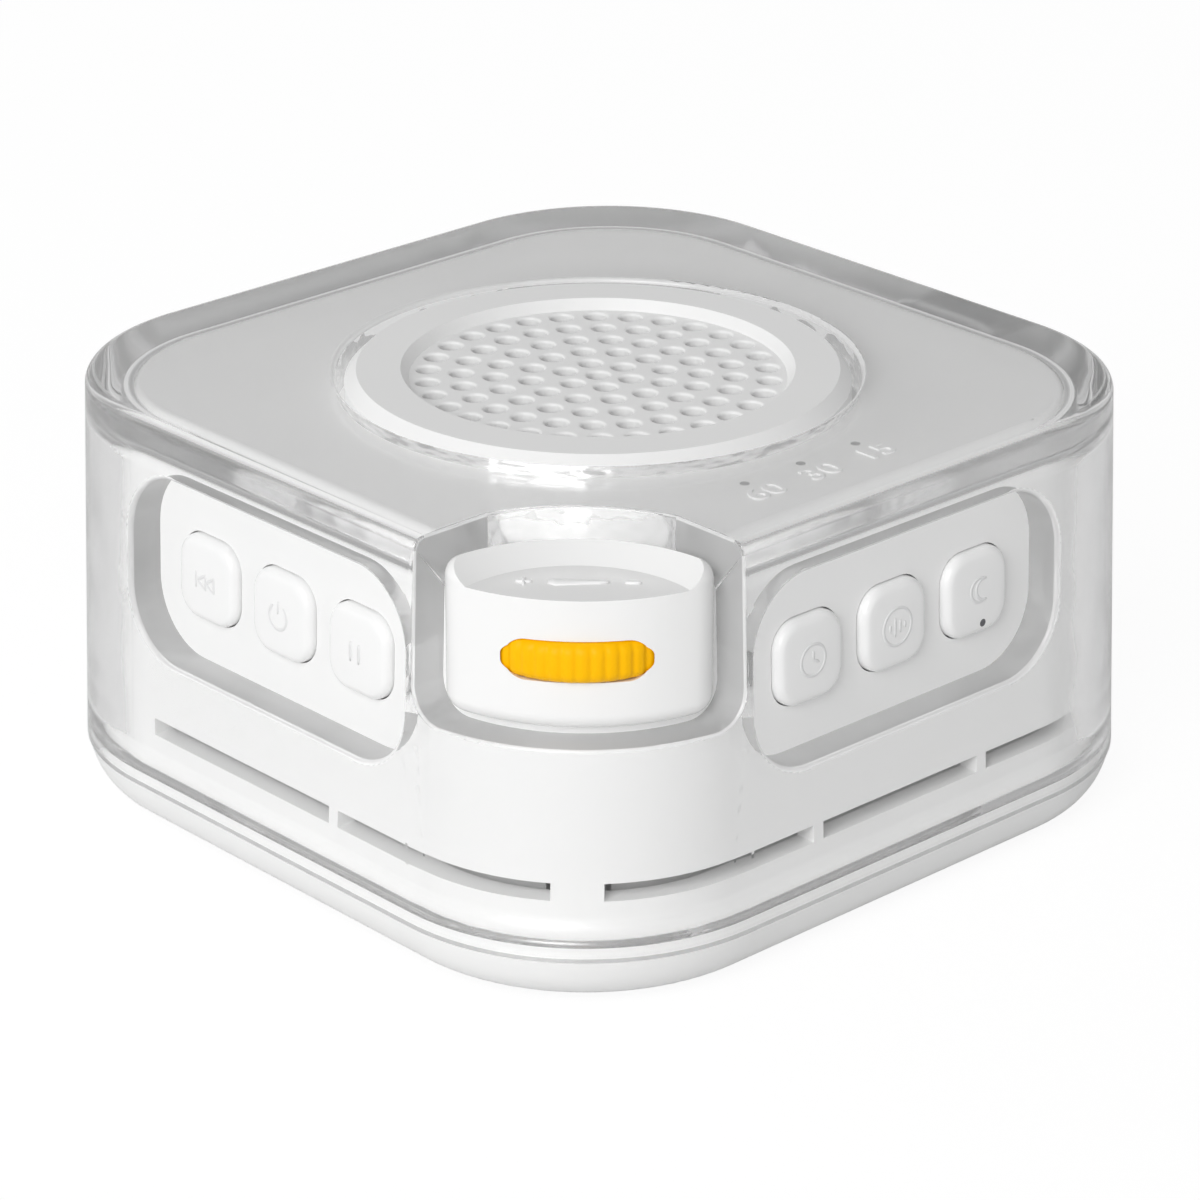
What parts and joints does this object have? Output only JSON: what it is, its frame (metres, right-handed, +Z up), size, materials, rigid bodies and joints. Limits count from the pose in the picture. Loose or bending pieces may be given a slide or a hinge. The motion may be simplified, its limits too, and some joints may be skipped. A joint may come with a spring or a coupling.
{
  "type": "white noise sound machine",
  "caption": "Rounded square white noise machine: clear cover over a white shell, round top grille, side push buttons and a corner thumbwheel for volume.",
  "frame": {"origin": "centre of the bottom at the feet", "axes": "+Z up through the grille; the front corner with the volume pod points along (+X, -Y); the left button face looks along -Y and the right button face along +X"},
  "size_m": [0.088, 0.088, 0.0448],
  "materials": {
    "clear_plastic": "thick clear polished plastic",
    "white_plastic": "satin moulded white",
    "button_white": "satin moulded white",
    "wheel_orange": "moulded warm yellow-orange",
    "black_plastic": "black moulded",
    "circuit_board": "green solder mask",
    "zinc_screw": "bright zinc",
    "steel": "nickel plated",
    "ferrite": "dark ceramic magnet",
    "copper": "enamelled copper winding",
    "paper_cone": "pressed black paper",
    "soft_rubber": "soft black rubber",
    "foot_rubber": "pale grey rubber",
    "acoustic_cloth": "fine dark speaker cloth",
    "spider_cloth": "impregnated woven cloth",
    "light_pipe": "clear light pipe",
    "battery_wrap": "silver grey pouch",
    "wire_sleeve": "red insulated wire",
    "liner_grey": "matt grey moulded"
  },
  "bodies": {
    "housing": {"clear_cover": "clear_plastic", "inner_shell": "white_plastic", "volume_pod": "white_plastic", "volume_potentiometer": "black_plastic", "volume_board": "circuit_board", "volume_board_screws": "zinc_screw", "speaker_grille": "white_plastic", "grille_screws": "zinc_screw", "grille_cloth": "acoustic_cloth", "speaker_gasket": "soft_rubber", "speaker_washers": "zinc_screw", "speaker_surround": "soft_rubber", "speaker_basket": "steel", "speaker_spider": "spider_cloth", "speaker_top_plate": "steel", "speaker_magnet": "ferrite", "speaker_yoke": "steel", "speaker_screws": "zinc_screw", "speaker_leads": "wire_sleeve", "left_tact_switches": "black_plastic", "right_tact_switches": "black_plastic", "left_button_board": "circuit_board", "right_button_board": "circuit_board", "button_board_screws": "zinc_screw", "base_shell": "white_plastic", "rubber_feet": "foot_rubber", "base_screws": "zinc_screw", "vent_liner": "liner_grey", "battery_foam_pad": "soft_rubber", "battery": "battery_wrap", "battery_leads": "wire_sleeve", "board_connectors": "button_white", "main_board": "circuit_board", "main_board_screws": "zinc_screw", "board_chips": "black_plastic", "board_capacitors": "steel", "usb_c_port": "steel", "timer_light_pipes": "light_pipe", "timer_lights": "button_white", "timer_light_board": "circuit_board", "timer_board_screws": "zinc_screw"},
    "previous_button": {"button_previous": "button_white", "plunger_previous": "black_plastic"},
    "power_button": {"button_power": "button_white", "plunger_power": "black_plastic"},
    "pause_button": {"button_pause": "button_white", "plunger_pause": "black_plastic"},
    "timer_button": {"button_timer": "button_white", "plunger_timer": "black_plastic"},
    "sound_button": {"button_sound": "button_white", "plunger_sound": "black_plastic"},
    "auto_button": {"button_auto": "button_white", "plunger_auto": "black_plastic", "auto_button_lens": "light_pipe"},
    "thumbwheel": {"volume_wheel": "wheel_orange", "volume_shaft": "steel", "volume_wheel_screw": "zinc_screw"},
    "speaker_moving": {"speaker_cone": "paper_cone", "speaker_dust_cap": "paper_cone", "voice_coil": "copper"}
  },
  "joints": [
    {"name": "previous_press", "type": "slide", "parent": "housing", "child": "previous_button", "axis": [0, 1, 0], "range_m": [0, 0.0005], "stiffness_N_per_m": 600},
    {"name": "power_press", "type": "slide", "parent": "housing", "child": "power_button", "axis": [0, 1, 0], "range_m": [0, 0.0005], "stiffness_N_per_m": 600},
    {"name": "pause_press", "type": "slide", "parent": "housing", "child": "pause_button", "axis": [0, 1, 0], "range_m": [0, 0.0005], "stiffness_N_per_m": 600},
    {"name": "timer_press", "type": "slide", "parent": "housing", "child": "timer_button", "axis": [-1, 0, 0], "range_m": [0, 0.0005], "stiffness_N_per_m": 600},
    {"name": "sound_press", "type": "slide", "parent": "housing", "child": "sound_button", "axis": [-1, 0, 0], "range_m": [0, 0.0005], "stiffness_N_per_m": 600},
    {"name": "auto_press", "type": "slide", "parent": "housing", "child": "auto_button", "axis": [-1, 0, 0], "range_m": [0, 0.0005], "stiffness_N_per_m": 600},
    {"name": "volume_turn", "type": "hinge", "parent": "housing", "child": "thumbwheel", "pos_m": [0.02871, -0.02871, 0.03475], "axis": [0, 0, 1], "range_deg": [-140, 140]},
    {"name": "cone_stroke", "type": "slide", "parent": "housing", "child": "speaker_moving", "axis": [0, 0, 1], "range_m": [-0.0008, 0.0008], "stiffness_N_per_m": 1200, "deforming": ["speaker_surround", "speaker_spider"]}
  ]
}
